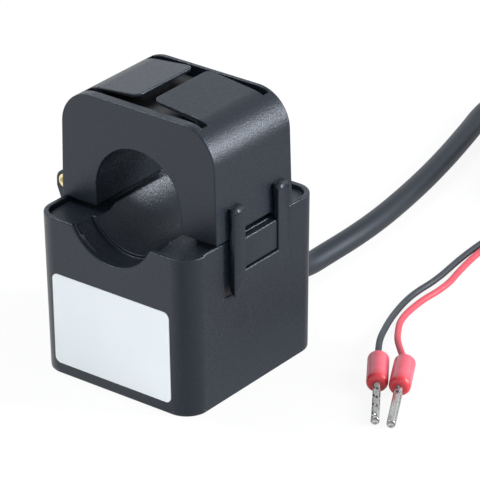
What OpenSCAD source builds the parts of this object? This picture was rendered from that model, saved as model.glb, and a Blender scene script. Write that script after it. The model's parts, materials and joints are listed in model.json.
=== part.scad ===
// Split-core current transformer: a moulded base that holds the wound lower core,
// and a hinged lid that holds the upper core and closes round the conductor.
// X runs across the front, Y runs back along the conductor, Z is up from the base.

/* [Base] */
// Width across the rim
body_w = 30; // [29:0.5:36]
// Depth across the rim, along the conductor
body_d = 32; // [30:0.5:38]
// Height of the rim
body_h = 26.5; // [25:0.5:32]
// Radius of the upright corners
corner_r = 3.7; // [2:0.1:4.5]
// How far each side leans in between rim and foot
side_draft = 0.28; // [0.1:0.02:0.5]
// Wall of the base below the deck
wall = 1.3; // [1:0.1:1.6]
// Thickness of the rim above the rebate that the deck sits in
rim_wall = 0.9; // [0.7:0.05:1]
// Thickness of the base's floor
floor_t = 1.3; // [1:0.1:2]
// Height of the straight foot band
foot_h = 0.6; // [0.4:0.1:1]
// Depth of the recessed deck below the rim
rim_step = 0.65; // [0.4:0.05:0.8]

/* [Aperture] */
// Radius of the conductor's aperture
bore_r = 8.2; // [7:0.1:8.4]
// Height of the aperture's axis above the rim
bore_rise = 3.5; // [3:0.1:4.5]
// Wall of the tube round the aperture
sleeve_t = 1; // [0.8:0.1:1.2]
// Deepening of the channel in front of and behind the lid
channel_step = 0.5; // [0.2:0.1:0.6]
// How far the tube's wall runs past the lid at each end before it deepens
sleeve_run = 1.5; // [1:0.1:2]

/* [Lid] */
// How far the lid's sides stand in from the rim at the split
lid_inset = 0.05; // [0:0.05:0.3]
// Length of deck left open in front of the lid and behind it
deck_run = 6.75; // [6:0.25:7.5]
// Height of the lid's top above the rim
lid_rise = 18.5; // [18:0.5:21]
// Radius of the lid's shoulders
shoulder_r = 5.9; // [4:0.1:6.2]
// How far each side of the lid leans in from split to top
lid_draft = 0.3; // [0.2:0.05:0.6]
// Wall of the lid
lid_wall = 1.2; // [1:0.1:1.4]
// Gap between the rim and the lid's legs
split_gap = 0.3; // [0.2:0.05:0.5]

/* [Spring flaps] */
// Rise of each flap towards its free end, in degrees
flap_angle = 6; // [3:0.5:7]
// Thickness of the flaps
flap_t = 0.6; // [0.5:0.05:0.9]
// How far each flap's sides stand in from the lid's ends
flap_inset = 2.6; // [2.2:0.1:3.2]
// Slot between the flaps' free ends
flap_slot = 2.7; // [2:0.1:3.4]
// How far the slot's middle stands to the left
slot_shift = 0.65; // [0:0.05:0.8]
// Slot along the flaps' sides
side_slot = 1.4; // [0.9:0.1:1.5]
// Radius of the flaps' free corners
flap_corner_r = 1.2; // [0.5:0.1:1.5]
// Half length of the side slots
slot_reach = 11.2; // [10.5:0.1:11.6]

/* [Hinge] */
// Distance of the hinge axis outside the lid's side
hinge_out = 0.35; // [0.2:0.05:0.5]
// Radius of the knuckles
knuckle_r = 1.7; // [1.5:0.05:1.8]
// Radius of the hinge pin
pin_r = 1.15; // [0.8:0.05:1.2]
// Clearance of the pin in the lid's knuckle
pin_fit = 0.05; // [0.02:0.01:0.08]
// Width of each of the base's two knuckles
ear_w = 2.2; // [1.6:0.1:2.6]
// Gap beside each knuckle
ear_gap = 0.2; // [0.15:0.05:0.4]
// Straight part of each knuckle's back below the axis
ear_back = 1.2; // [0.8:0.1:1.5]
// How far the knuckles' necks run down the base's side
ear_neck = 5; // [3:0.5:7]
// Front skin of the lid that covers the knuckles' ends
skin_t = 0.85; // [0.7:0.05:1.1]

/* [Latch] */
// Half width of the latch loop
latch_half = 6.65; // [6:0.05:7]
// Width of each of the loop's arms
arm_w = 2.65; // [2:0.05:3]
// Distance of the loop's face outside the rim
latch_out = 1.1; // [0.9:0.05:1.4]
// Height of the loop's root above the rim
latch_rise = 5.4; // [5:0.1:6]
// Depth of the loop's lower edge below the rim
latch_drop = 9; // [8:0.1:10]
// Height of the crossbar
crossbar_h = 3.7; // [3:0.1:4]
// Radius where the loop turns down at its root
latch_bend = 1; // [0.8:0.1:1.2]
// Play between the loop and its catch
latch_play = 0.2; // [0.15:0.05:0.4]
// Depth of the shallow seat in the base's side
seat_depth = 0.3; // [0.2:0.05:0.4]
// How far the seat reaches past the loop on each side
seat_margin = 1.5; // [0.5:0.1:1.8]
// Depth of the catch's top below the rim
catch_drop = 0.2; // [0.1:0.1:0.8]
// Rise of the notch in the lid's lower edge above the catch
notch_rise = 0.5; // [0.1:0.05:0.8]
// How far the catch stands back from the loop's face
catch_back = 0.25; // [0.1:0.05:0.4]

/* [Magnetic core] */
// Gap between the core and the wall beside it
core_gap = 0.45; // [0.2:0.05:0.6]
// How far the core's sides stand in from the lid's ends
core_inset = 1.85; // [1.4:0.05:2.2]
// Depth of the lower core's pole faces below the rim
pole_drop = 0.4; // [0.3:0.05:0.5]
// Height of the underside of the lower core
core_low_z = 8; // [7:0.5:9]
// Clearance round the core
core_fit = 0.15; // [0.1:0.05:0.25]

/* [Winding] */
// Wall of the bobbin's tube and flanges
bobbin_t = 0.7; // [0.5:0.1:0.9]
// Build-up of the winding on the bobbin
winding_t = 3.2; // [2:0.1:3.5]
// Thickness of the tape wound over the wire
tape_t = 0.15; // [0.1:0.05:0.3]
// How far the flanges stand out past the winding
flange_lip = 0.4; // [0.2:0.1:0.6]
// Height of the terminal blocks
block_h = 1.2; // [1:0.1:1.6]
// Length of the terminal pins
pin_len = 2.6; // [2:0.1:3]

/* [Cable] */
// Diameter of the round cable
cable_d = 3.7; // [3.5:0.1:4]
// Diameter of each insulated core
lead_d = 1.05; // [1:0.05:1.2]
// Diameter across the middle of the coil's turns
coil_d = 40; // [38:1:44]
// Width of the bundle of turns
coil_w = 11.1; // [10:0.1:12]
// Height of the bundle of turns
coil_h = 10.1; // [9:0.1:11]
// Thickness of the tie round the coil
tie_t = 0.5; // [0.4:0.1:0.8]

/* [Ferrules] */
// Diameter of the insulating collars
collar_d = 3.4; // [3:0.1:3.4]
// Length of the collars
collar_len = 7.2; // [6:0.1:9]
// Diameter of the tinned barrels
barrel_d = 1.4; // [1.2:0.1:1.6]
// Length of the barrels
barrel_len = 10; // [8:0.5:12]

/* [Label] */
// Width of the label
label_w = 22.6; // [18:0.1:23]
// Height of the label
label_h = 15.3; // [10:0.1:16]
// Thickness of the label
label_t = 0.12; // [0.1:0.01:0.2]
// Height of the label's lower edge
label_low = 1.9; // [1.5:0.1:4]

/* [Hidden] */

plastic = "#33363b";
eps = 0.01;
far = 60;

// heights that several pieces share
bore_z = body_h + bore_rise;
lid_top = body_h + lid_rise;
pole_z = body_h - pole_drop;
latch_root_z = body_h + latch_rise;
latch_low_z = body_h - latch_drop;
deck_z = body_h - rim_step;
deck_t = 1;
lid_z0 = body_h + split_gap;
shoulder_z = lid_top - shoulder_r;
sleeve_r = bore_r + sleeve_t;
latch_y = 0.3;
flap_y = latch_y + 0.2;

lid_len = body_d - 2 * deck_run;
flap_w = lid_len - 2 * flap_inset;
core_d = lid_len - 2 * core_inset;

// half widths of the lid at its split and at its shoulders
lid_x0 = body_w / 2 - lid_inset;
lid_x1 = lid_x0 - lid_draft;
shoulder_x = lid_x1 - shoulder_r;

hinge_x = -(lid_x0 + hinge_out);
hinge_z = lid_z0 + knuckle_r + 0.05;
hinge_len = lid_len - 2 * (skin_t + ear_gap);
ear_mid = hinge_len / 2 - ear_w / 2;
knuckle_len = hinge_len - 2 * (ear_w + ear_gap);

core_in = sleeve_r + core_fit + 0.2;
core_out = body_w / 2 - wall - core_gap;
core_t = core_out - core_in;
core_top = lid_top - lid_wall - core_fit;

// ---------- 2D helpers ----------

module rounded_rect(w, d, r) {
    square([w - 2 * r, d], center = true);
    square([w, d - 2 * r], center = true);
    for (sx = [-1, 1], sy = [-1, 1])
        translate([sx * (w / 2 - r), sy * (d / 2 - r)]) circle(r = r, $fn = 48);
}

// extrudes an X-Z profile along Y, centred at y0
module along_y(len, y0 = 0) {
    translate([0, y0 + len / 2, 0]) rotate([90, 0, 0]) linear_extrude(len) children();
}

// extrudes a Y-Z profile along X, from x0 to x0 + len
module along_x(x0, len) {
    translate([x0, 0, 0]) rotate([90, 0, 90]) linear_extrude(len) children();
}

// cylinder on an axis along Y
module rod_y(r, len, x, z, y0 = 0) {
    translate([x, y0 + len / 2, z]) rotate([90, 0, 0]) cylinder(r = r, h = len, $fn = 64);
}

// ---------- base ----------

// outline of the rim's inside, grown or shrunk by a clearance
module inner_rect(grow = 0) {
    rounded_rect(body_w - 2 * wall + 2 * grow, body_d - 2 * wall + 2 * grow, corner_r - wall + grow);
}

// outline of the rebate that the deck sits in, grown or shrunk by a clearance
module rim_rect(grow = 0) {
    rounded_rect(body_w - 2 * rim_wall + 2 * grow, body_d - 2 * rim_wall + 2 * grow,
                 corner_r - rim_wall + grow);
}

// drafted outer form, narrower at the foot, on a straight foot band
module base_outer() {
    foot_w = body_w - 2 * side_draft;
    foot_d = body_d - 2 * side_draft;
    linear_extrude(foot_h + eps) rounded_rect(foot_w, foot_d, corner_r);
    translate([0, 0, body_h]) mirror([0, 0, 1])
        linear_extrude(body_h - foot_h, scale = [foot_w / body_w, foot_d / body_d])
            rounded_rect(body_w, body_d, corner_r);
}

// hinge knuckle of the base: a round eye whose neck slopes back to the wall below the rim
module ear_profile() {
    neck_z = body_h - ear_neck;
    side = -body_w / 2 + rim_wall;
    translate([hinge_x, hinge_z]) circle(r = knuckle_r, $fn = 64);
    polygon([
        [hinge_x + knuckle_r, hinge_z],
        [hinge_x - knuckle_r, hinge_z],
        [hinge_x - knuckle_r, hinge_z - ear_back],
        [-body_w / 2 + side_draft / 2, neck_z],
        [side, neck_z],
        [side, body_h]
    ]);
}

// catch that the latch loop snaps under, with a chamfer along its top
module catch_profile() {
    x0 = body_w / 2 - seat_depth - 0.3;
    x1 = body_w / 2 + latch_out - catch_back;
    top = body_h - catch_drop;
    low = latch_low_z + crossbar_h + latch_play;
    chamfer = 0.25;
    polygon([[x0, low], [x1, low], [x1, top - chamfer], [x1 - chamfer, top], [x0, top]]);
}

module base_housing() color(plastic) {
    difference() {
        union() {
            difference() {
                base_outer();
                translate([0, 0, floor_t]) linear_extrude(body_h) inner_rect();
                translate([0, 0, deck_z - deck_t]) linear_extrude(body_h) rim_rect();
            }
            // corner posts that carry the channel cover
            intersection() {
                translate([0, 0, floor_t]) linear_extrude(deck_z - deck_t - floor_t) inner_rect(0.2);
                for (sx = [-1, 1], sy = [-1, 1])
                    translate([sx * (body_w / 2 - wall), sy * (body_d / 2 - wall), 0])
                        cylinder(r = 2 * wall, h = body_h, $fn = 48);
            }
            // low ribs that locate the bobbin's flanges
            for (s = [-1, 1])
                translate([-bobbin_half / 2, s * (flange_y + rib_t) - rib_t / 2, floor_t - eps])
                    cube([bobbin_half, rib_t, 1.2]);
            // collar round the cable's way out
            rod_y(cable_r + 1.4, wall + boss_t, 0, cable_z, back_y + (boss_t - wall) / 2);
            for (s = [-1, 1]) along_y(ear_w, s * ear_mid) ear_profile();
        }
        // open front and back notches on the aperture's axis
        rod_y(bore_r, far, 0, bore_z);
        // shallow seat for the latch loop, open at the rim
        translate([body_w / 2 - seat_depth, latch_y - latch_half - seat_margin, latch_low_z - latch_play])
            cube([far, 2 * (latch_half + seat_margin), body_h]);
        rod_y(cable_r + cable_fit, far, 0, cable_z, far / 2);
        rod_y(pin_r, hinge_len + 1, hinge_x, hinge_z);
    }
    along_y(2 * (latch_half - arm_w - latch_play), latch_y) catch_profile();
}

// deck with the lower half of the aperture, dropped in below the rim
module channel_cover() color(plastic) {
    fit = 0.1;
    in_d = body_d - 2 * wall - 2 * fit;
    sleeve_len = lid_len + 2 * sleeve_run;
    difference() {
        union() {
            translate([0, 0, deck_z - deck_t]) linear_extrude(deck_t) rim_rect(-fit);
            intersection() {
                rod_y(sleeve_r + channel_step, in_d, 0, bore_z);
                translate([-far / 2, -far / 2, 0]) cube([far, far, deck_z]);
            }
        }
        rod_y(bore_r, sleeve_len + eps, 0, bore_z);
        for (s = [-1, 1])
            rod_y(bore_r + channel_step, far / 2, 0, bore_z, s * (sleeve_len / 2 + far / 4));
        // windows for the lower core's legs
        for (s = [-1, 1])
            translate([s * (core_in + core_out) / 2, 0, deck_z])
                cube([core_t + 2 * core_fit, core_d + 2 * core_fit, far / 2], center = true);
        // clear of the core's back and of the bobbin
        for (s = [-1, 1])
            translate([s * (core_in + far / 2 - core_fit), 0, deck_z - deck_t - far / 2])
                cube([far, far, far], center = true);
    }
}

// ---------- lid ----------

// outer arch of the lid between its drafted sides, shrunk by t
module lid_profile(t = 0) {
    polygon([
        [-(lid_x0 - t), lid_z0 - (t > 0 ? 1 : 0)], [lid_x0 - t, lid_z0 - (t > 0 ? 1 : 0)],
        [lid_x1 - t, shoulder_z], [shoulder_x, lid_top - t], [-shoulder_x, lid_top - t],
        [-(lid_x1 - t), shoulder_z]
    ]);
    for (s = [-1, 1])
        translate([s * shoulder_x, shoulder_z]) circle(r = shoulder_r - t, $fn = 96);
}

// aperture in the lid: a half round on straight legs
module arch_profile(r) {
    translate([0, bore_z]) circle(r = r, $fn = 96);
    translate([-r, lid_z0 - 2]) square([2 * r, bore_z - lid_z0 + 2]);
}

// where the flaps leave the shoulder's round, and the height of their upper face at a distance x
flap_root_x = shoulder_x + shoulder_r * sin(flap_angle);
function flap_top(x) = shoulder_z + shoulder_r * cos(flap_angle) + (flap_root_x - x) * tan(flap_angle);

// right-hand spring flap with its free end at tip_x, tangent to the shoulder and rising from it
module flap_profile(tip_x) {
    root = [flap_root_x, flap_top(flap_root_x)];
    tip = [tip_x, flap_top(tip_x)];
    down = flap_t / cos(flap_angle);
    polygon([root, tip, tip - [0, down], root - [0, down]]);
    // the root follows the shoulder
    difference() {
        translate([shoulder_x, shoulder_z]) circle(r = shoulder_r, $fn = 96);
        translate([shoulder_x, shoulder_z]) circle(r = shoulder_r - lid_wall, $fn = 96);
        translate([shoulder_x - far, 0]) square([far, far]);
        translate([0, shoulder_z - far]) square([far, far]);
    }
}

// flap with the rib under it that presses on the core
module spring_flap(tip_x) {
    rib_x = tip_x + 2.2;
    rib_w = 1.4;
    rib_h = flap_top(rib_x + rib_w) - flap_t / 2 - core_top;
    intersection() {
        along_y(flap_w, flap_y) flap_profile(tip_x);
        translate([tip_x + far / 2, flap_y, 0]) linear_extrude(far)
            rounded_rect(far, flap_w, flap_corner_r);
    }
    translate([rib_x, flap_y - flap_w / 4, core_top]) cube([rib_w, flap_w / 2, rib_h]);
}

module lid_shell() color(plastic) {
    notch = ear_w + 2 * ear_gap;
    difference() {
        union() {
            difference() {
                along_y(lid_len) lid_profile();
                // room for the upper core, open below both legs
                difference() {
                    along_y(core_d + 2 * core_fit) lid_profile(lid_wall);
                    along_y(lid_len + 2) arch_profile(sleeve_r);
                }
                // I-shaped opening round the flaps
                translate([0, flap_y, lid_top - shoulder_r / 2])
                    linear_extrude(far)
                        square([2 * slot_reach, flap_w + 2 * side_slot], center = true);
            }
            spring_flap(flap_slot / 2 - slot_shift);
            mirror([1, 0, 0]) spring_flap(flap_slot / 2 + slot_shift);
            // knuckle between the base's two
            along_y(knuckle_len) {
                translate([hinge_x, hinge_z]) circle(r = knuckle_r, $fn = 64);
                translate([hinge_x, hinge_z - knuckle_r])
                    square([hinge_out + lid_wall, 2 * knuckle_r]);
            }
        }
        along_y(lid_len + 2) arch_profile(bore_r);
        rod_y(pin_r + pin_fit, knuckle_len + 1, hinge_x, hinge_z);
        // notch over the catch
        translate([lid_x0 - lid_wall / 2, latch_y - latch_half + arm_w, lid_z0 - 1])
            cube([far, 2 * (latch_half - arm_w), 1 + notch_rise]);
        // pockets for the base's knuckles
        for (s = [-1, 1]) {
            rod_y(knuckle_r + ear_gap, notch, hinge_x, hinge_z, s * ear_mid);
            translate([hinge_x - far / 2, s * ear_mid - notch / 2, lid_z0 - 1])
                cube([far / 2 + knuckle_r + ear_gap, notch, hinge_z - lid_z0 + 1]);
        }
    }
}

// U-shaped loop that hangs from the lid's side and springs over the catch
module latch_loop() color(plastic) {
    face_x = body_w / 2 + latch_out;
    fit = 0.05;
    side_x = function (z) lid_x0 - lid_draft * (z - lid_z0) / (shoulder_z - lid_z0) + fit;
    root_x = side_x(latch_root_z);
    lip = 0.9;
    bend = min(latch_bend, face_x - root_x - 0.2);
    difference() {
        union() {
            along_y(2 * latch_half, latch_y) polygon([
                [root_x, latch_root_z], [face_x - bend, latch_root_z],
                [face_x - bend, latch_root_z - bend], [face_x, latch_root_z - bend],
                [face_x, latch_low_z], [face_x - 0.25, latch_low_z],
                [side_x(lid_z0), latch_low_z + lip], [side_x(lid_z0), lid_z0]
            ]);
            intersection() {
                rod_y(bend, 2 * latch_half, face_x - bend, latch_root_z - bend, latch_y);
                translate([face_x - bend, -far / 2, latch_root_z - bend]) cube(far);
            }
        }
        // window that the catch stands in
        translate([0, latch_y - latch_half + arm_w, latch_low_z + crossbar_h])
            cube([far, 2 * (latch_half - arm_w), far]);
    }
}

// pin with chamfered ends and a blind centre hole in each
module hinge_pin() color("#c9a545") {
    half = hinge_len / 2 - 0.2;
    r = pin_r - 0.02;
    hole_r = 0.4 * pin_r;
    chamfer = 0.25;
    depth = 0.6;
    translate([hinge_x, 0, hinge_z]) rotate([90, 0, 0]) rotate_extrude($fn = 64) polygon([
        [0, depth - half], [hole_r, depth - half], [hole_r, -half], [r - chamfer, -half],
        [r, chamfer - half], [r, half - chamfer], [r - chamfer, half], [hole_r, half],
        [hole_r, half - depth], [0, half - depth]
    ]);
}

// ---------- magnetic circuit ----------

module lower_core() color("#5b5d60") {
    difference() {
        along_y(core_d) difference() {
            translate([0, (pole_z + core_low_z) / 2])
                rounded_rect(2 * core_out, pole_z - core_low_z, 1.5);
            translate([-core_in, core_low_z + core_t]) square([2 * core_in, far]);
        }
    }
    // square pole ends
    for (s = [-1, 1])
        translate([s * (core_in + core_out) / 2, 0, pole_z - 1])
            cube([core_t, core_d, 2], center = true);
}

module upper_core() color("#5b5d60") {
    gap = 0.05;
    top_r = shoulder_r - lid_wall;
    along_y(core_d) difference() {
        union() {
            translate([-core_out, pole_z + gap])
                square([2 * core_out, core_top - top_r - pole_z - gap]);
            for (s = [-1, 1])
                translate([s * (core_out - top_r), core_top - top_r]) circle(r = top_r, $fn = 96);
            translate([-(core_out - top_r), core_top - top_r])
                square([2 * (core_out - top_r), top_r]);
        }
        translate([0, bore_z]) circle(r = core_in, $fn = 96);
        translate([-core_in, 0]) square([2 * core_in, bore_z]);
    }
}

bobbin_half = core_in - core_fit;
tube_y = core_d / 2 + core_fit + bobbin_t;
tube_z = core_t / 2 + core_fit + bobbin_t;
bobbin_z = core_low_z + core_t / 2;
flange = winding_t + flange_lip;
flange_y = tube_y + flange;
block_z = bobbin_z + tube_z + winding_t + 0.05;
rib_t = 0.8;

module wound_section(grow, r) {
    rounded_rect(2 * (tube_y + grow), 2 * (tube_z + grow), r);
}

module bobbin() color("#e9e4d4") {
    foot = 1.4 * tube_y;
    difference() {
        union() {
            translate([0, 0, bobbin_z]) along_x(-bobbin_half, 2 * bobbin_half) wound_section(0, 0.6);
            for (s = [-1, 1])
                translate([s * (bobbin_half - bobbin_t / 2), 0, 0]) {
                    translate([0, 0, bobbin_z])
                        along_x(-bobbin_t / 2, bobbin_t) wound_section(flange, 1.5);
                    translate([-bobbin_t / 2, -foot / 2, floor_t])
                        cube([bobbin_t, foot, bobbin_z - floor_t]);
                }
            // terminal block on the rear of each flange
            for (s = [-1, 1])
                translate([s * (bobbin_half - 1) - 1, flange_y - 2.4, block_z])
                    cube([2, 2.2, block_h]);
        }
        translate([0, 0, bobbin_z])
            cube([far, core_d + 2 * core_fit, core_t + 2 * core_fit], center = true);
    }
}

module winding() color("#b8642c") {
    len = 2 * (bobbin_half - bobbin_t);
    translate([0, 0, bobbin_z]) difference() {
        along_x(-len / 2, len) wound_section(winding_t - tape_t, 1.2);
        along_x(-len / 2 - 1, len + 2) wound_section(0, 0.6);
    }
}

module winding_tape() color("#d8b23a") {
    len = 2 * (bobbin_half - bobbin_t) - 0.1;
    translate([0, 0, bobbin_z]) difference() {
        along_x(-len / 2, len) wound_section(winding_t, 1.2 + tape_t);
        along_x(-len / 2 - 1, len + 2) wound_section(winding_t - tape_t, 1.2);
    }
}

pin_x = bobbin_half - 1;
pin_y = flange_y - 1.3;
pin_z = block_z + block_h;

module terminal_pins() color("#c8c8c4") {
    for (s = [-1, 1]) translate([s * pin_x, pin_y, pin_z]) cylinder(r = 0.35, h = pin_len, $fn = 32);
}

// ---------- cable and leads ----------

// unit vector and cross product of a sweep's frame
function unit(v) = v / norm(v);
function tangent(p, i) = unit(p[min(i + 1, len(p) - 1)] - p[max(i - 1, 0)]);

// closed tube with flat ends, one ring at every point
module sweep(path, d, ref = [0, 0, 1], sides = 8) {
    n = len(path);
    // the flats lie d/2 from the middle, so the tube rests on its underside
    r = d / 2 / cos(180 / sides);
    ring = function (i)
        let (t = tangent(path, i), side = unit(cross(t, ref)), up = cross(side, t))
            [for (k = [0:sides - 1]) let (a = (k + 0.5) * 360 / sides)
                path[i] + r * (cos(a) * side + sin(a) * up)];
    polyhedron(
        points = [for (i = [0:n - 1]) each ring(i)],
        faces = concat(
            [[for (k = [0:sides - 1]) k]],
            [for (i = [0:n - 2], k = [0:sides - 1]) let (a = i * sides, b = (k + 1) % sides)
                [a + k, a + sides + k, a + sides + b, a + b]],
            [[for (k = [sides - 1:-1:0]) (n - 1) * sides + k]]
        )
    );
}

cable_z = 5;
cable_r = cable_d / 2;
cable_fit = 0.2;
boss_t = 0.9;
back_y = body_d / 2;
cable_in_y = back_y - wall - 2.2;
wire_rise = pin_z - cable_z;
lead_r = lead_d / 2;
coil_at = [26, 100];
coil_corner_r = 4;
coil_z = 0.5;
coil_join_z = coil_z + cable_r;

// from inside the base, out through the back, down to the floor and round to the coil
cable_path = [
    [0, cable_in_y, cable_z], [0, back_y, cable_z], [0, back_y + 4, cable_z],
    [0, back_y + 8, 4.6], [0, back_y + 12.5, 3.2],
    [-0.1, 33, 2], [-0.2, 38, cable_r], [-0.3, 46, cable_r], [-0.9, 54, cable_r],
    [-2.2, 63, cable_r], [-3.9, 72, cable_r], [-6, 81, cable_r], [-8.4, 90, cable_r],
    [-10.6, 98, cable_r], [-10.9, 104, cable_r], [-9, 111, cable_r], [-4.4, 117, cable_r],
    [2, 120.6, cable_r], [9, 122, 2], [17, 122, 2.2], [26, 122, coil_join_z]
];

// from inside the coil's last turn over the one beside it, down the coil's outside
// and along the floor to the jacket's cut end
cable_end_path = [
    [41.7, 110.2, 10.5], [44.7, 107.2, 11.9], [47.6, 103.4, 12.4], [49.7, 98.8, 11.9],
    [50.2, 93.5, 10.5], [49.3, 88.1, 8.6], [47.1, 82.9, 6.6], [43.4, 78.5, 4.7],
    [38.7, 75.1, 3.2], [33.8, 72.9, 2.2], [28.6, 71.6, cable_r], [23, 70.3, cable_r]
];

// each core from the jacket's cut end to its ferrule
lead_red_path = [
    [23.1, 69.7, 1.6], [21.2, 69.2, 1], [19.6, 68, lead_r], [18.5, 66.3, lead_r],
    [17.9, 63.5, lead_r], [17.6, 60, lead_r], [17.7, 57, lead_r],
    [18, 54, lead_r], [18.5, 51, lead_r], [19.2, 47.5, lead_r], [20, 44, lead_r],
    [20.3, 40.5, lead_r], [20.2, 37, lead_r], [20.4, 34, lead_r], [20.9, 31, 0.6],
    [21.9, 28, 0.8], [23.6, 25, 1.2], [25.9, 21.6, 1.6], [28.6, 18.6, 1.9],
    [31.1, 16.1, 2], [32.5, 13.9, 1.8]
];
lead_black_path = [
    [22.9, 70.9, 1.6], [20.6, 70.4, 1], [18.5, 69.2, lead_r], [17.1, 67.4, lead_r],
    [16.4, 64, lead_r], [16.2, 60.5, lead_r], [16.3, 57, lead_r],
    [16.5, 54, lead_r], [16.8, 51, lead_r], [17.2, 48, lead_r], [17.6, 45, lead_r],
    [17.8, 42, lead_r], [17.8, 39, lead_r], [18, 36, lead_r], [18.6, 33, 0.6],
    [19.5, 30, 0.8], [20.6, 27, 1.1], [22, 23.8, 1.5], [23.9, 19.8, 1.9],
    [26, 16.4, 2], [28.7, 12.6, 1.8]
];

// the wires inside the base, from the cable's inner end up to the terminal pins
inner_red_path = [
    [0.8, cable_in_y, cable_z], [0.17 * pin_x, cable_in_y - 0.3, cable_z + 0.08 * wire_rise],
    [0.36 * pin_x, cable_in_y - 0.3, cable_z + 0.23 * wire_rise],
    [0.65 * pin_x, flange_y + 0.5, cable_z + 0.42 * wire_rise],
    [0.9 * pin_x, flange_y + 0.6, cable_z + 0.65 * wire_rise],
    [pin_x, flange_y + 0.6, pin_z - 1.2], [pin_x, flange_y + 0.5, pin_z + 0.4],
    [pin_x, pin_y + 0.95, pin_z + 1.4]
];
inner_black_path = [for (p = inner_red_path) [-p[0], p[1], p[2]]];

module cable() color("#2c3036") sweep(cable_path, cable_d);
module cable_end() color("#2c3036") sweep(cable_end_path, cable_d);
module lead_red() color("#c8323c") sweep(lead_red_path, lead_d);
module lead_black() color("#24272b") sweep(lead_black_path, lead_d);
module inner_lead_red() color("#c8323c") sweep(inner_red_path, lead_d, [0, 1, 0]);
module inner_lead_black() color("#24272b") sweep(inner_black_path, lead_d, [0, 1, 0]);

module cable_coil() color("#2c3036") {
    translate([coil_at[0], coil_at[1], coil_z + coil_h / 2])
        rotate_extrude($fn = 96) translate([coil_d / 2, 0]) rounded_rect(coil_w, coil_h, coil_corner_r);
}

// band round the bundle on its left side
module coil_tie() color("#1d1f22") {
    fit = 0.15;
    w = 3;
    translate([coil_at[0] - coil_d / 2, coil_at[1], coil_z + coil_h / 2])
        along_y(w) difference() {
            rounded_rect(coil_w + 2 * (fit + tie_t), coil_h + 2 * tie_t, coil_corner_r + tie_t);
            rounded_rect(coil_w + 2 * fit, coil_h, coil_corner_r);
        }
}

// nylon tie round the cable just inside the wall, which stops it being pulled out
module inner_cable_tie() color("#e6e4dc") {
    y0 = back_y - wall - 0.95;
    difference() {
        union() {
            rod_y(cable_r + 0.7, 1.8, 0, cable_z, y0);
            translate([-1.2, y0 - 0.9, cable_z + cable_r - 0.2]) cube([2.4, 1.8, 1.6]);
        }
        rod_y(cable_r + cable_fit, far, 0, cable_z, y0);
    }
}

// ---------- ferrules ----------

// where each barrel's tip rests and the way it points
red_tip = [39.8, 0.6];
red_aim = -61.3;
black_tip = [37.3, 0];
black_aim = -55.7;
ferrule_tilt = 4.1;

// turns a ferrule built along +X, tip at the origin, to where it lies
module place_ferrule(tip, aim) {
    translate([tip[0], tip[1], barrel_d / 2]) rotate([0, 0, aim]) rotate([0, ferrule_tilt, 0])
        children();
}

module barrel() {
    translate([-barrel_len, 0, 0]) rotate([0, 90, 0]) cylinder(d = barrel_d, h = barrel_len, $fn = 48);
}

// points of a quarter round of radius r, from its low side to its high side
function quarter(at, r, turn) = [for (a = [0:15:90]) at + r * [cos(a + turn), sin(a + turn)]];

// collar with a rounded shoulder in front, a rounded rim behind and a funnel for the wire
module collar() {
    rear = -barrel_len - collar_len;
    front = -barrel_len;
    r = collar_d / 2;
    mouth_r = r - 0.45;
    wire_r = mouth_r - 0.25;
    shoulder = r - barrel_d / 2 - 0.15;
    rotate([0, 90, 0]) rotate_extrude($fn = 64) polygon(concat(
        [[0, rear + 2.2], [wire_r, rear + 2.2], [mouth_r, rear]],
        quarter([r - 0.2, rear + 0.2], 0.2, -90),
        quarter([r - shoulder, front - shoulder], shoulder, 0),
        [[0, front]]
    ));
}

module collar_red_lead() color("#e5485a") place_ferrule(red_tip, red_aim) collar();
module collar_black_lead() color("#e5485a") place_ferrule(black_tip, black_aim) collar();
module barrel_red_lead() color("#c9cbcc") place_ferrule(red_tip, red_aim) barrel();
module barrel_black_lead() color("#c9cbcc") place_ferrule(black_tip, black_aim) barrel();

// ---------- label ----------

module label() color("#e8eaea") {
    lean = atan(side_draft / (body_h - foot_h));
    translate([-0.35, -body_d / 2, body_h]) rotate([lean, 0, 0])
        translate([0, 0, label_low + label_h / 2 - body_h]) rotate([90, 0, 0])
            linear_extrude(label_t) rounded_rect(label_w, label_h, 1);
}

base_housing();
channel_cover();
lid_shell();
latch_loop();
hinge_pin();
lower_core();
upper_core();
bobbin();
winding();
winding_tape();
terminal_pins();
inner_lead_red();
inner_lead_black();
inner_cable_tie();
label();
cable();
cable_coil();
cable_end();
coil_tie();
lead_red();
lead_black();
collar_red_lead();
collar_black_lead();
barrel_red_lead();
barrel_black_lead();
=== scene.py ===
import json
import math

import bmesh
import bpy
import numpy as np
from mathutils import Matrix, Vector


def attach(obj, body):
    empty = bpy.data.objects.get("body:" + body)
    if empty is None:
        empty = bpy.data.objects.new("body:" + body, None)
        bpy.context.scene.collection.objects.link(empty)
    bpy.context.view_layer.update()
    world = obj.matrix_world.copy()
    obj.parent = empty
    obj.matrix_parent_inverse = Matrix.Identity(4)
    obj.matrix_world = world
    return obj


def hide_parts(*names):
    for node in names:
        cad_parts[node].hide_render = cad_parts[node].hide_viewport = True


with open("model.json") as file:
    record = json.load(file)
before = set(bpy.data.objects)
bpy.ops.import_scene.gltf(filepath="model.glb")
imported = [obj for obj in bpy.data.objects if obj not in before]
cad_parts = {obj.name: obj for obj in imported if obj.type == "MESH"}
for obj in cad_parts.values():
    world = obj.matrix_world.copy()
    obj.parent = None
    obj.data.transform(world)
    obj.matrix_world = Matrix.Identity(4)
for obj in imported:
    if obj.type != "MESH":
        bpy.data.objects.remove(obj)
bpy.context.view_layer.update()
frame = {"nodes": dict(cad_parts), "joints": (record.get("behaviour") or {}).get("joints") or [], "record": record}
MM = 0.001

# ---------------------------------------------------------------- camera
# A long lens a little to the right of the front and well above it, which takes in the clamp, the
# start of the cable and the two ferrules.

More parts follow.
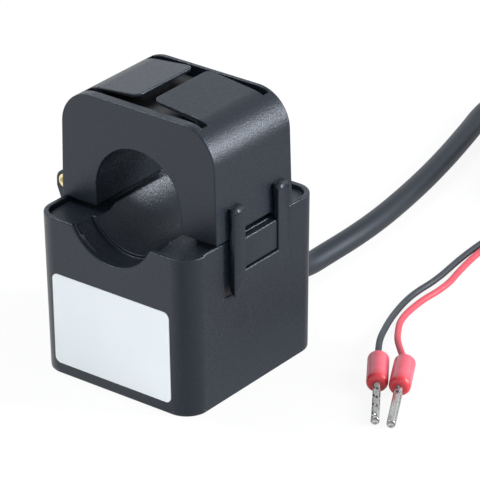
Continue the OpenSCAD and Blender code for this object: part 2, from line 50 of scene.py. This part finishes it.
azimuth, elevation, roll = (math.radians(a) for a in (38.148, 26.695, -0.623))
aim_right, aim_up, distance = 9.47 * MM, 19.64 * MM, 587.7 * MM

away = Vector((math.sin(azimuth) * math.cos(elevation), -math.cos(azimuth) * math.cos(elevation),
               math.sin(elevation)))
across = Vector((math.cos(azimuth), math.sin(azimuth), 0))
upright = away.cross(across)
lens_x = across * math.cos(roll) + upright * math.sin(roll)
lens_y = upright * math.cos(roll) - across * math.sin(roll)

camera = bpy.data.objects.new("camera", bpy.data.cameras.new("camera"))
camera.data.lens = 288.98
camera.data.sensor_width = 36
camera.data.clip_start = 0.01
camera.matrix_world = Matrix((lens_x, lens_y, away)).transposed().to_4x4()
camera.location = across * aim_right + Vector((0, 0, aim_up)) + away * distance
bpy.context.scene.collection.objects.link(camera)
bpy.context.scene.camera = camera

# ---------------------------------------------------------------- cable
# Round two-core cable, about a metre long, with a satin PVC jacket. It leaves the back of the base,
# drops to the floor and runs round to a coil of six turns; its cut end lies beside the coil.

cable_d = 3.7 * MM
cable_out = [
    (0, 12.5, 5), (0, 16, 5), (0, 20, 5), (0, 24, 4.6), (0, 28.5, 3.2), (-0.1, 33, 2),
    (-0.2, 38, 1.85), (-0.3, 46, 1.85), (-0.9, 54, 1.85), (-2.2, 63, 1.85), (-3.9, 72, 1.85),
    (-6, 81, 1.85), (-8.4, 90, 1.85), (-10.6, 98, 1.85), (-10.9, 104, 1.85), (-9, 111, 1.85),
    (-4.4, 117, 1.85), (2, 120.6, 1.85), (9, 122, 2), (17, 122, 2.2),
]
cable_tail = [
    (41.7, 110.2, 10.5), (44.7, 107.2, 11.9), (47.6, 103.4, 12.4), (49.7, 98.8, 11.9),
    (50.2, 93.5, 10.5), (49.3, 88.1, 8.6), (47.1, 82.9, 6.6), (43.4, 78.5, 4.7),
    (38.7, 75.1, 3.2), (33.8, 72.9, 2.2), (28.6, 71.6, 1.85), (23, 70.3, 1.85),
]
coil_x, coil_y = 26, 100
# degrees turned from the coil's far side, radius and height: each turn lies beside or on the last
coil_steps = [
    (0, 21.9, 2.35), (35, 21.9, 2.35), (90, 18.15, 2.35), (390, 18.15, 2.35), (450, 16.3, 5.55),
    (750, 16.3, 5.55), (810, 20, 5.55), (1110, 20, 5.55), (1170, 23.7, 5.55), (1470, 23.7, 5.55),
    (1530, 21.85, 8.75), (1830, 21.85, 8.75), (1890, 18.15, 8.75), (2205, 18.15, 8.75),
]


def coil_turns(step=15):
    """Points of the turns, one for every step degrees."""
    turned, radius, height = zip(*coil_steps)
    points = []
    for angle in np.arange(0, turned[-1] + 1e-6, step):
        spot = min(int(np.searchsorted(turned, angle, side="right")) - 1, len(turned) - 2)
        share = (angle - turned[spot]) / (turned[spot + 1] - turned[spot])
        share = share * share * (3 - 2 * share)
        r = radius[spot] + share * (radius[spot + 1] - radius[spot])
        z = height[spot] + share * (height[spot + 1] - height[spot])
        where = math.radians(90 - angle)
        points.append((coil_x + r * math.cos(where), coil_y + r * math.sin(where), z))
    return points


def smooth_line(points, pieces=4):
    """A curve through the points, in metres."""
    p = np.array(points, float) * MM
    p = np.vstack([2 * p[0] - p[1], p, 2 * p[-1] - p[-2]])
    line = []
    for a, b, c, d in zip(p, p[1:], p[2:], p[3:]):
        for t in np.arange(pieces) / pieces:
            line.append(0.5 * (2 * b + (c - a) * t + (2 * a - 5 * b + 4 * c - d) * t * t
                               + (3 * b - a - 3 * c + d) * t ** 3))
    line.append(p[-2])
    return np.array(line)


def new_piece(name, vertices, faces, smooth=True):
    """A new mesh object of that name, in the scene."""
    mesh = bpy.data.meshes.new(name)
    mesh.from_pydata([tuple(v) for v in vertices], [], faces)
    mesh.validate()
    piece = bpy.data.objects.new(name, mesh)
    bpy.context.scene.collection.objects.link(piece)
    if smooth:
        mesh.shade_smooth()
    return piece


def tube_skin(rings, sides):
    """The faces of a tube of rings with the given sides, then its first end and its last end."""
    faces = [(i * sides + k, (i + 1) * sides + k, (i + 1) * sides + (k + 1) % sides,
              i * sides + (k + 1) % sides) for i in range(rings - 1) for k in range(sides)]
    last = (rings - 1) * sides
    return faces + [tuple(range(sides)), tuple(last + k for k in reversed(range(sides)))]


def drawn_tube(name, line, radius, sides):
    """A round tube along the line, closed at both ends. The line doesn't start upright."""
    heading = np.gradient(line, axis=0)
    heading /= np.linalg.norm(heading, axis=1)[:, None]
    side = np.cross(heading[0], (0, 0, 1.0))
    turn = np.arange(sides) * 2 * math.pi / sides
    rings = []
    for centre, ahead in zip(line, heading):
        side = side - ahead * np.dot(side, ahead)
        side /= np.linalg.norm(side)
        up = np.cross(side, ahead)
        rings.append(centre + radius * (np.outer(np.cos(turn), side) + np.outer(np.sin(turn), up)))
    return new_piece(name, np.vstack(rings), tube_skin(len(rings), sides))


class Wire:
    """A shader value. Arithmetic on it adds the nodes that work it out."""

    def __init__(self, finish, socket):
        self.finish, self.socket = finish, socket

    def _math(self, operation, *values):
        return self.finish.node("ShaderNodeMath", {"operation": operation}, *values)

    def __add__(self, other):
        return self._math("ADD", self, other)

    def __sub__(self, other):
        return self._math("SUBTRACT", self, other)

    def __rsub__(self, other):
        return self._math("SUBTRACT", other, self)

    def __mul__(self, other):
        return self._math("MULTIPLY", self, other)

    __radd__ = __add__
    __rmul__ = __mul__


class Finish:
    """A surface finish: a principled shader, and what varies over it."""

    def __init__(self, name, **constants):
        self.material = bpy.data.materials.new(name)
        self.material.use_nodes = True
        self.tree = self.material.node_tree
        self.surface = self.tree.nodes["Principled BSDF"]
        self.set(**constants)
        self.place = self.node("ShaderNodeTexCoord", {}, out="Object")

    def set(self, **sockets):
        for name, value in sockets.items():
            self.feed(self.surface.inputs[name.replace("_", " ")], value)

    def feed(self, socket, value):
        if isinstance(value, Wire):
            self.tree.links.new(value.socket, socket)
        else:
            socket.default_value = value

    def node(self, kind, settings, *values, out=0, **named):
        made = self.tree.nodes.new(kind)
        for key, value in settings.items():
            setattr(made, key, value)
        for spot, value in [*enumerate(values), *((k.replace("_", " "), v) for k, v in named.items())]:
            self.feed(made.inputs[spot], value)
        return Wire(self, made.outputs[out])

    def noise(self, scale, detail=2, roughness=0.5):
        return self.node("ShaderNodeTexNoise", {}, Vector=self.place, Scale=scale, Detail=detail,
                         Roughness=roughness)

    def along(self, direction):
        """How far a point lies along the direction from the origin."""
        return self.node("ShaderNodeVectorMath", {"operation": "DOT_PRODUCT"}, self.place, direction,
                         out="Value")

    def fade(self, value, start, end, first, last):
        """From first to last while the value goes from start to end."""
        return self.node("ShaderNodeMapRange", {}, value, start, end, first, last)

    def blend(self, share, first, second):
        """A colour mix, whose own sockets come after those of the node's other kinds of mix."""
        made = self.tree.nodes.new("ShaderNodeMix")
        made.data_type = "RGBA"
        for spot, value in ((0, share), (6, first), (7, second)):
            self.feed(made.inputs[spot], value if isinstance(value, Wire) or spot == 0 else (*value, 1))
        return Wire(self, made.outputs[2])

    def bump(self, height, strength, distance):
        normal = self.node("ShaderNodeBump", {}, Strength=strength, Distance=distance, Height=height)
        self.set(Normal=normal)

    def put_on(self, piece):
        piece.data.materials.clear()
        piece.data.materials.append(self.material)


jacket = Finish("jacket_pvc", IOR=1.5, Specular_Tint=(0.82, 0.89, 1, 1))
jacket_speckle = jacket.noise(900, 3)
jacket.set(Base_Color=jacket.blend(jacket.noise(60, 2), (0.009, 0.012, 0.017), (0.014, 0.018, 0.024)),
           Roughness=0.4 + 0.12 * jacket_speckle)
jacket.bump(jacket_speckle, 0.15, 0.00004)

cable_line = smooth_line(cable_out + coil_turns() + cable_tail)
cable = drawn_tube("cable_two_core", cable_line, cable_d / 2, 24)
jacket.put_on(cable)
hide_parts("cable", "cable_coil", "cable_end")
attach(cable, "base")

# ---------------------------------------------------------------- ferrules
# Crimped end sleeves: a tinned copper barrel, rolled to a tube and pressed onto the bared strands,
# in a translucent pink-red nylon collar. The black core's barrel is squared by the crimping tool,
# with four slanting bites; the red core's has one flat and one bite.

mounts = {mount["name"]: mount for mount in frame["record"]["mounts"]}
strands = Finish("strand_ends", Metallic=0.7, Roughness=0.5)
strands.set(Base_Color=strands.blend(strands.noise(4000, 2), (0.03, 0.026, 0.022), (0.16, 0.13, 0.1)))
barrel_sides, barrel_rings = 48, 110
# the square's sides and the flat lie at these shares of the radius: a higher power makes the
# square's corners sharper, and the flat faces this way round the barrel
squared_by, square_power, flat_at, flat_turn = 0.87, 6, 0.72, math.radians(60)
# the barrel stays round for this far from its tip and from the collar, and takes this far to change
round_tip, round_root, tip_change, root_change = 0.1 * MM, 0.3 * MM, 0.5 * MM, 0.6 * MM
bite_depth, bite_width, bite_slant, bite_round = 0.2 * MM, 0.26 * MM, 0.45 * MM, 1.5
first_bite, bite_pitch = 0.9 * MM, 2.4 * MM
# distance back from the tip and share of the radius: the strands, the mouth and its rounded rim
mouth = [(0.4 * MM, 0.72), (0.02 * MM, 0.78), (0, 0.84), (0.03 * MM, 0.93), (0.1 * MM, 0.98)]
wall_from = 0.18 * MM
# the collar deepens in colour towards its front, between these distances behind it
deepens_from, deepens_to = 2.2 * MM, 0.2 * MM


def pressed_barrel(name, mount, squared, bites):
    """The tube from its open tip back to the collar, pressed in along most of its length."""
    ahead = Vector(mount["axis"])
    side = ahead.cross(Vector((0, 0, 1))).normalized()
    up = side.cross(ahead)
    length, outer = mount["dims"]["length_mm"] * MM, mount["dims"]["r_mm"] * MM
    tip = Vector(mount["pos_m"]) + ahead * length / 2
    turn = np.arange(barrel_sides) * 2 * math.pi / barrel_sides
    wave, lift = np.cos(turn), np.sin(turn)
    if squared:
        square = (np.abs(wave) ** square_power + np.abs(lift) ** square_power) ** (1 / square_power)
        pressed = np.minimum(1, squared_by / square)
    else:
        towards_flat = np.maximum(np.cos(turn - flat_turn), 0.01)
        pressed = np.minimum(1, flat_at / towards_flat)
    wall = [(back, 1) for back in np.linspace(wall_from, length, barrel_rings)]
    rings = []
    for back, share in mouth + wall:
        crimped = min(1, max(0, back - round_tip) / tip_change,
                      max(0, length - back - round_root) / root_change)
        radius = outer * share * (1 - crimped * (1 - pressed))
        for bite in bites:
            off = (back - first_bite - bite * bite_pitch - bite_slant * wave) / bite_width
            radius = radius - bite_depth * np.exp(-off ** 2) * np.clip(lift, 0, 1) ** bite_round
        centre = np.array(tip - ahead * back)
        rings.append(centre + np.outer(radius * wave, side) + np.outer(radius * lift, up))
    faces = tube_skin(len(rings), barrel_sides)
    piece = new_piece(name, np.vstack(rings), faces)
    strands_face = piece.data.polygons[len(faces) - 2]
    strands_face.material_index = 1
    return piece


for colour, squared, bites in (("black", True, range(4)), ("red", False, (3,))):
    mount = mounts[f"barrel_{colour}_lead"]
    tin = Finish(f"tinned_copper_{colour}", Metallic=1.0)
    wear = tin.noise(1800, 3)
    tin.set(Base_Color=tin.blend(wear, (0.34, 0.34, 0.31), (0.86, 0.86, 0.83)),
            Roughness=0.12 + 0.2 * wear)
    tin.bump(wear, 0.5, 0.00008)
    barrel = pressed_barrel(f"ferrule_barrel_{colour}", mount, squared, bites)
    tin.put_on(barrel)
    barrel.data.materials.append(strands.material)
    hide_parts(f"barrel_{colour}_lead")
    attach(barrel, "base")

    nylon = Finish(f"collar_nylon_{colour}", IOR=1.5, Coat_Weight=0.4, Coat_Roughness=0.15)
    cloud = nylon.noise(500, 2)
    ahead = Vector(mount["axis"])
    front = ahead.dot(Vector(mount["pos_m"])) - mount["dims"]["length_mm"] / 2 * MM
    depth = nylon.fade(nylon.along(ahead), front - deepens_from, front - deepens_to, 0, 1)
    thin = nylon.blend(cloud, (0.65, 0.074, 0.108), (0.76, 0.125, 0.175))
    nylon.set(Base_Color=nylon.blend(depth, thin, (0.6, 0.03, 0.045)), Roughness=0.28 + 0.1 * cloud)
    nylon.put_on(frame["nodes"][f"collar_{colour}_lead"])

# ---------------------------------------------------------------- red and black cores
# The cable's two insulated wires, stripped of the jacket for the last few centimetres, which lie
# loose on the floor and end in crimped ferrules.

core_d = 1.05 * MM
core_routes = {
    "red": [(23.1, 69.7, 1.6), (21.2, 69.2, 1), (19.6, 68, 0.525), (18.5, 66.3, 0.525),
            (17.9, 63.5, 0.525), (17.6, 60, 0.525), (17.7, 57, 0.525), (18, 54, 0.525),
            (18.5, 51, 0.525), (19.2, 47.5, 0.525), (20, 44, 0.525), (20.3, 40.5, 0.525),
            (20.2, 37, 0.525), (20.4, 34, 0.525), (20.9, 31, 0.6), (21.9, 28, 0.8),
            (23.6, 25, 1.2), (25.9, 21.6, 1.6), (28.6, 18.6, 1.9), (31.1, 16.1, 2), (32.5, 13.9, 1.8)],
    "black": [(22.9, 70.9, 1.6), (20.6, 70.4, 1), (18.5, 69.2, 0.525), (17.1, 67.4, 0.525),
              (16.4, 64, 0.525), (16.2, 60.5, 0.525), (16.3, 57, 0.525), (16.5, 54, 0.525),
              (16.8, 51, 0.525), (17.2, 48, 0.525), (17.6, 45, 0.525), (17.8, 42, 0.525),
              (17.8, 39, 0.525), (18, 36, 0.525), (18.6, 33, 0.6), (19.5, 30, 0.8),
              (20.6, 27, 1.1), (22, 23.8, 1.5), (23.9, 19.8, 1.9), (26, 16.4, 2), (28.7, 12.6, 1.8)],
}
core_shades = {
    "red": ((0.5, 0.045, 0.07), (0.6, 0.075, 0.105)),
    "black": ((0.022, 0.028, 0.036), (0.034, 0.042, 0.052)),
}
for colour, route in core_routes.items():
    finish = Finish(f"insulation_{colour}", IOR=1.5)
    speckle = finish.noise(1600, 2)
    finish.set(Base_Color=finish.blend(finish.noise(150, 2), *core_shades[colour]),
               Roughness=0.38 + 0.14 * speckle)
    finish.bump(speckle, 0.1, 0.00003)
    line = smooth_line(route, 5)
    wire = drawn_tube(f"core_wire_{colour}", line, core_d / 2, 16)
    finish.put_on(wire)
    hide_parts(f"lead_{colour}")
    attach(wire, "base")

# ---------------------------------------------------------------- base, deck, lid and latch
# Black flame-retardant nylon mouldings with a fine spark-eroded satin. Each keeps the form of its
# solid, with the sharp edges broken as the mould leaves them.

edge_r, deck_edge_r = 0.2 * MM, 0.12 * MM
# points this close are one, faces that turn by less are one, and edges that turn by more are sharp
same_point, same_face, sharp_edge = 0.06 * MM, math.radians(0.4), math.radians(32)
# a neighbour that runs straight on never crowds an edge; others do if under this many radii long
runs_on, least_length = -0.85, 2.2


def crowded(edge, radius):
    """True where another edge or a narrow face leaves no room for the rounding."""
    for corner in edge.verts:
        ahead = (edge.other_vert(corner).co - corner.co).normalized()
        for other in corner.link_edges:
            turn = ahead.dot((other.other_vert(corner).co - corner.co).normalized())
            if other is not edge and turn > runs_on and other.calc_length() < least_length * radius:
                return True
    return any(face.calc_area() < radius * edge.calc_length() for face in edge.link_faces)


def softened(node, name, radius):
    """The node's own form with its sharp edges rounded."""
    work = bmesh.new()
    work.from_mesh(frame["nodes"][node].data)
    bmesh.ops.remove_doubles(work, verts=work.verts, dist=same_point)
    bmesh.ops.dissolve_limit(work, angle_limit=same_face, verts=work.verts, edges=work.edges)
    bmesh.ops.connect_verts_concave(work, faces=work.faces)
    edges = [edge for edge in work.edges if edge.is_manifold and edge.calc_face_angle() > sharp_edge
             and not crowded(edge, radius)]
    bmesh.ops.bevel(work, geom=edges, offset=radius, offset_type="OFFSET", segments=3, profile=0.5,
                    affect="EDGES", clamp_overlap=False, loop_slide=True)
    piece = new_piece(name, [], [])
    work.to_mesh(piece.data)
    work.free()
    piece.data.shade_smooth()
    weighted = piece.modifiers.new("flat_faces", "WEIGHTED_NORMAL")
    weighted.keep_sharp = False
    weighted.weight = 80
    return piece


moulding = Finish("black_nylon", IOR=1.5, Specular_Tint=(0.82, 0.89, 1, 1))
erosion = moulding.noise(4000, 3, 0.6)
moulding.set(Base_Color=moulding.blend(moulding.noise(90, 3), (0.008, 0.011, 0.016), (0.011, 0.015, 0.022)),
             Roughness=0.17 + 0.28 * erosion)
moulding.bump(erosion, 0.9, 0.000065)

for node, name, body, radius in (
    ("base_housing", "moulded_base", "base", edge_r),
    ("channel_cover", "moulded_deck", "base", deck_edge_r),
    ("lid_shell", "moulded_lid", "lid", edge_r),
    ("latch_loop", "moulded_latch", "latch", edge_r),
):
    piece = softened(node, name, radius)
    moulding.put_on(piece)
    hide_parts(node)
    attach(piece, body)

# ---------------------------------------------------------------- lips of the channel
# The aperture's wall, carried on above the deck as two low lips between the lid's legs, so that the
# channel runs up to the lid. They are moulded with the deck: here a U-shaped liner in the deck's
# channel carries both.

axis_z = mounts["aperture"]["pos_m"][2]
bore_r = mounts["aperture"]["dims"]["r_mm"] * MM
liner_r, liner_wall, liner_half = bore_r - 0.03 * MM, 0.98 * MM, 10.55 * MM
# heights under the aperture's axis: the liner's ends, just sunk in the deck, and the lips' tops
sunk, lip_top = -4.2 * MM, -3.72 * MM
lip_half, lip_ramp, lip_edge = 7.6 * MM, 1.6 * MM, 0.07 * MM
arc_steps, crease = 60, math.radians(35)


def lower_arc(radius, height):
    """Points from left to right along the circle's lower part, up to the height at both sides."""
    turn = math.acos(-height / radius)
    return [(radius * math.sin(a), -radius * math.cos(a)) for a in np.linspace(-turn, turn, arc_steps)]


def liner_outline(top):
    """The U between the channel's own arc and the liner's outer wall, with its two tops level."""
    inner = lower_arc(liner_r, top - lip_edge)
    outer = lower_arc(liner_r + liner_wall, top - lip_edge)[::-1]
    right = [(inner[-1][0] + lip_edge, top), (outer[0][0] - lip_edge, top)]
    left = [(-x, z) for x, z in reversed(right)]
    return inner + right + outer + left


stations = [(-liner_half, sunk), (-lip_half, sunk), (lip_ramp - lip_half, lip_top)]
stations += [(-y, top) for y, top in reversed(stations)]
verts = [(x, y, axis_z + z) for y, top in stations for x, z in liner_outline(top)]
faces = tube_skin(len(stations), len(verts) // len(stations))
# the side faces start a corner earlier, so that they fold along their other diagonal
faces[:-2] = [face[-1:] + face[:-1] for face in faces[:-2]]
liner = new_piece("channel_lips", verts, faces)
liner.data.set_sharp_from_angle(angle=crease)
moulding.put_on(liner)
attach(liner, "base")

# ---------------------------------------------------------------- label
# White polyester film with rounded corners, die-cut and stuck to the front of the base. It carries
# no print.

film = Finish("label_film", IOR=1.45)
film_grain = film.noise(700, 2)
film.set(Base_Color=film.blend(film.noise(120, 2), (0.78, 0.82, 0.825), (0.82, 0.85, 0.86)),
         Roughness=0.45 + 0.1 * film_grain)
film.bump(film_grain, 0.05, 0.00002)
film.put_on(frame["nodes"]["label"])

# ---------------------------------------------------------------- pieces inside and small trim
# These keep the form of their solids: the two halves of the strip-wound core, whose ends show when
# the lid is open, the copper winding on its nylon bobbin with its tape, pins and wires, the brass
# hinge pin and the two nylon ties.

plain = {
    "hinge_pin": ("pin_brass", (0.8, 0.68, 0.36), (0.92, 0.82, 0.5), 0.22, 1.0),
    "lower_core": ("core_strip", (0.05, 0.052, 0.055), (0.11, 0.112, 0.115), 0.35, 1.0),
    # the upper half is painted lighter than the lower one: painted light that stands in for the light falling on
    # its top through the lid's slots
    "upper_core": ("core_strip_upper_painted_lighter", (0.07, 0.072, 0.075), (0.14, 0.142, 0.145), 0.35, 1.0),
    "bobbin": ("bobbin_nylon", (0.7, 0.66, 0.55), (0.8, 0.77, 0.66), 0.45, 0.0),
    "winding": ("copper_enamel", (0.42, 0.14, 0.05), (0.6, 0.24, 0.09), 0.3, 0.6),
    "winding_tape": ("polyester_tape", (0.7, 0.5, 0.07), (0.8, 0.6, 0.12), 0.3, 0.0),
    "terminal_pins": ("pin_tin", (0.5, 0.5, 0.49), (0.65, 0.65, 0.64), 0.3, 1.0),
    "inner_lead_red": ("inner_red", (0.42, 0.045, 0.07), (0.5, 0.07, 0.1), 0.4, 0.0),
    "inner_lead_black": ("inner_black", (0.03, 0.033, 0.038), (0.045, 0.05, 0.056), 0.4, 0.0),
    "inner_cable_tie": ("tie_nylon", (0.7, 0.69, 0.64), (0.78, 0.77, 0.72), 0.4, 0.0),
    "coil_tie": ("tie_nylon_black", (0.018, 0.019, 0.021), (0.03, 0.031, 0.034), 0.4, 0.0),
}
for node, (name, dark, light, rough, metal) in plain.items():
    finish = Finish(name, Metallic=metal)
    grain = finish.noise(800, 3)
    finish.set(Base_Color=finish.blend(grain, dark, light), Roughness=rough + 0.15 * grain)
    finish.bump(grain, 0.15, 0.00003)
    finish.put_on(frame["nodes"][node])

# ---------------------------------------------------------------- heads of the hinge pin
# The brass pin's ends, spread into low flanged heads over the base's ears when the lid is fitted:
# bright on the ring, dull in the eye.

lid_hinge = next(joint for joint in frame["joints"] if joint["name"] == "lid_hinge")
hinge_x, _, hinge_z = lid_hinge["pos_m"]
ear_face, head_sides = 8.2 * MM, 40
# radius and height over the ear's face, in mm, from the rim that lies in the ear to the eye
head_profile = [
    (1.15, -0.1), (1.15, 0.04), (1.1, 0.09), (0.96, 0.1), (0.84, 0.06), (0.72, -0.06), (0.25, -0.1),
]
head_metal = Finish("pin_head_brass", Metallic=1.0)
head_grain = head_metal.noise(900, 3)
head_metal.set(Base_Color=head_metal.blend(head_grain, (0.8, 0.68, 0.34), (0.95, 0.86, 0.55)),
               Roughness=0.18 + 0.1 * head_grain)
head_eye = Finish("pin_eye_brass", Metallic=1.0, Roughness=0.35)
head_eye.set(Base_Color=head_eye.blend(head_eye.noise(900, 2), (0.4, 0.3, 0.11), (0.52, 0.4, 0.16)))
for name, way in (("pin_head_front", -1), ("pin_head_back", 1)):
    turns = [k * 2 * math.pi / head_sides for k in range(head_sides)]
    verts = [(hinge_x + r * MM * math.cos(a), way * (ear_face + out * MM), hinge_z + r * MM * math.sin(a))
             for r, out in head_profile for a in turns]
    faces = tube_skin(len(head_profile), head_sides)
    del faces[-2]  # the first end stays open inside the ear
    head = new_piece(name, verts, faces if way > 0 else [face[::-1] for face in faces])
    head_metal.put_on(head)
    head.data.materials.append(head_eye.material)
    for face in head.data.polygons[-head_sides - 1:]:
        face.material_index = 1
    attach(head, "base")

# ---------------------------------------------------------------- studio
# A white table under a cool white sky, with a tall soft lamp behind on the right and a small one
# high on the left. The table glows evenly for the camera; for glossy surfaces its glow carries
# painted light and shade by place.

table_finish = Finish("white_table", Base_Color=(0.86, 0.86, 0.86, 1), Roughness=0.9,
                      Specular_IOR_Level=0.1)
table_seen = table_finish.node("ShaderNodeLightPath", {}, out="Is Camera Ray")
table_mirrored = table_finish.node("ShaderNodeLightPath", {}, out="Is Glossy Ray")
beside = table_finish.along((1, 0, 0))
behind = table_finish.along((0, 1, 0))
right_front = table_finish.along((0.78, -0.62, 0))
own_glow = 0.9
# painted light and shade: the glow that glossy surfaces see is brighter in front, dimmer behind, dimmer towards
# the camera's side and dimmer in a band beside the base's right side
painted_light_and_shade = table_finish.fade(behind, -30 * MM, 60 * MM, 1.1, 0.66)
painted_light_and_shade = painted_light_and_shade * table_finish.fade(right_front, 45 * MM, 75 * MM, 1, 0.7)
painted_light_and_shade = painted_light_and_shade * (1 - table_finish.fade(beside, 0, 18 * MM, 0, 0.5)
             + table_finish.fade(beside, 30 * MM, 110 * MM, 0, 0.5))
glow = table_finish.node("ShaderNodeEmission", {}, Strength=table_seen + table_mirrored * painted_light_and_shade)
painted = Wire(table_finish, table_finish.surface.outputs[0])
mixed = table_finish.node("ShaderNodeMixShader", {}, own_glow * table_seen + own_glow * table_mirrored,
                          painted, glow)
table_finish.feed(table_finish.tree.nodes["Material Output"].inputs["Surface"], mixed)

reach = 3
corners = [(-reach, -reach, 0), (reach, -reach, 0), (reach, reach, 0), (-reach, reach, 0)]
table = new_piece("table", corners, [(0, 1, 2, 3)], smooth=False)
table_finish.put_on(table)


class Sky(Finish):
    """The light from all round: a background, and what varies over it."""

    def __init__(self, name):
        self.world = bpy.data.worlds.new(name)
        self.world.use_nodes = True
        self.tree = self.world.node_tree
        self.surface = self.tree.nodes["Background"]
        self.place = self.node("ShaderNodeTexCoord", {}, out="Generated")


# brightest at the horizon and dimmer overhead, and plain white where the camera sees past the table
sky = Sky("studio")
sky_seen = sky.node("ShaderNodeLightPath", {}, out="Is Camera Ray")
sky_height = sky.node("ShaderNodeSeparateXYZ", {}, sky.place, out="Z")
sky_glow = sky.fade(sky_height, 0.25, 0.75, 1.1, 0.45)
sky.set(Color=sky.blend(sky_seen, (0.94, 0.98, 1.03), (1, 1, 1)),
        Strength=sky.node("ShaderNodeMix", {}, Factor=sky_seen, A=sky_glow, B=1))
bpy.context.scene.world = sky.world

part_middle = 25 * MM


def softbox(name, towards, distance, size, power):
    """A soft lamp that faces the part from the given direction."""
    lamp = bpy.data.objects.new(name, bpy.data.lights.new(name, "AREA"))
    lamp.data.shape = "RECTANGLE"
    lamp.data.size, lamp.data.size_y = size
    lamp.data.energy = power
    direction = Vector(towards).normalized()
    lamp.location = Vector((0, 0, part_middle)) + direction * distance
    lamp.rotation_euler = direction.to_track_quat("Z", "Y").to_euler()
    bpy.context.scene.collection.objects.link(lamp)


softbox("key_softbox", towards=(0.80, 0.50, 0.39), distance=0.6, size=(0.15, 0.34), power=4.8)
softbox("front_softbox", towards=(-0.552, -0.12, 0.825), distance=0.7, size=(0.2, 0.2), power=2.4)

bpy.context.scene.view_settings.view_transform = "Standard"
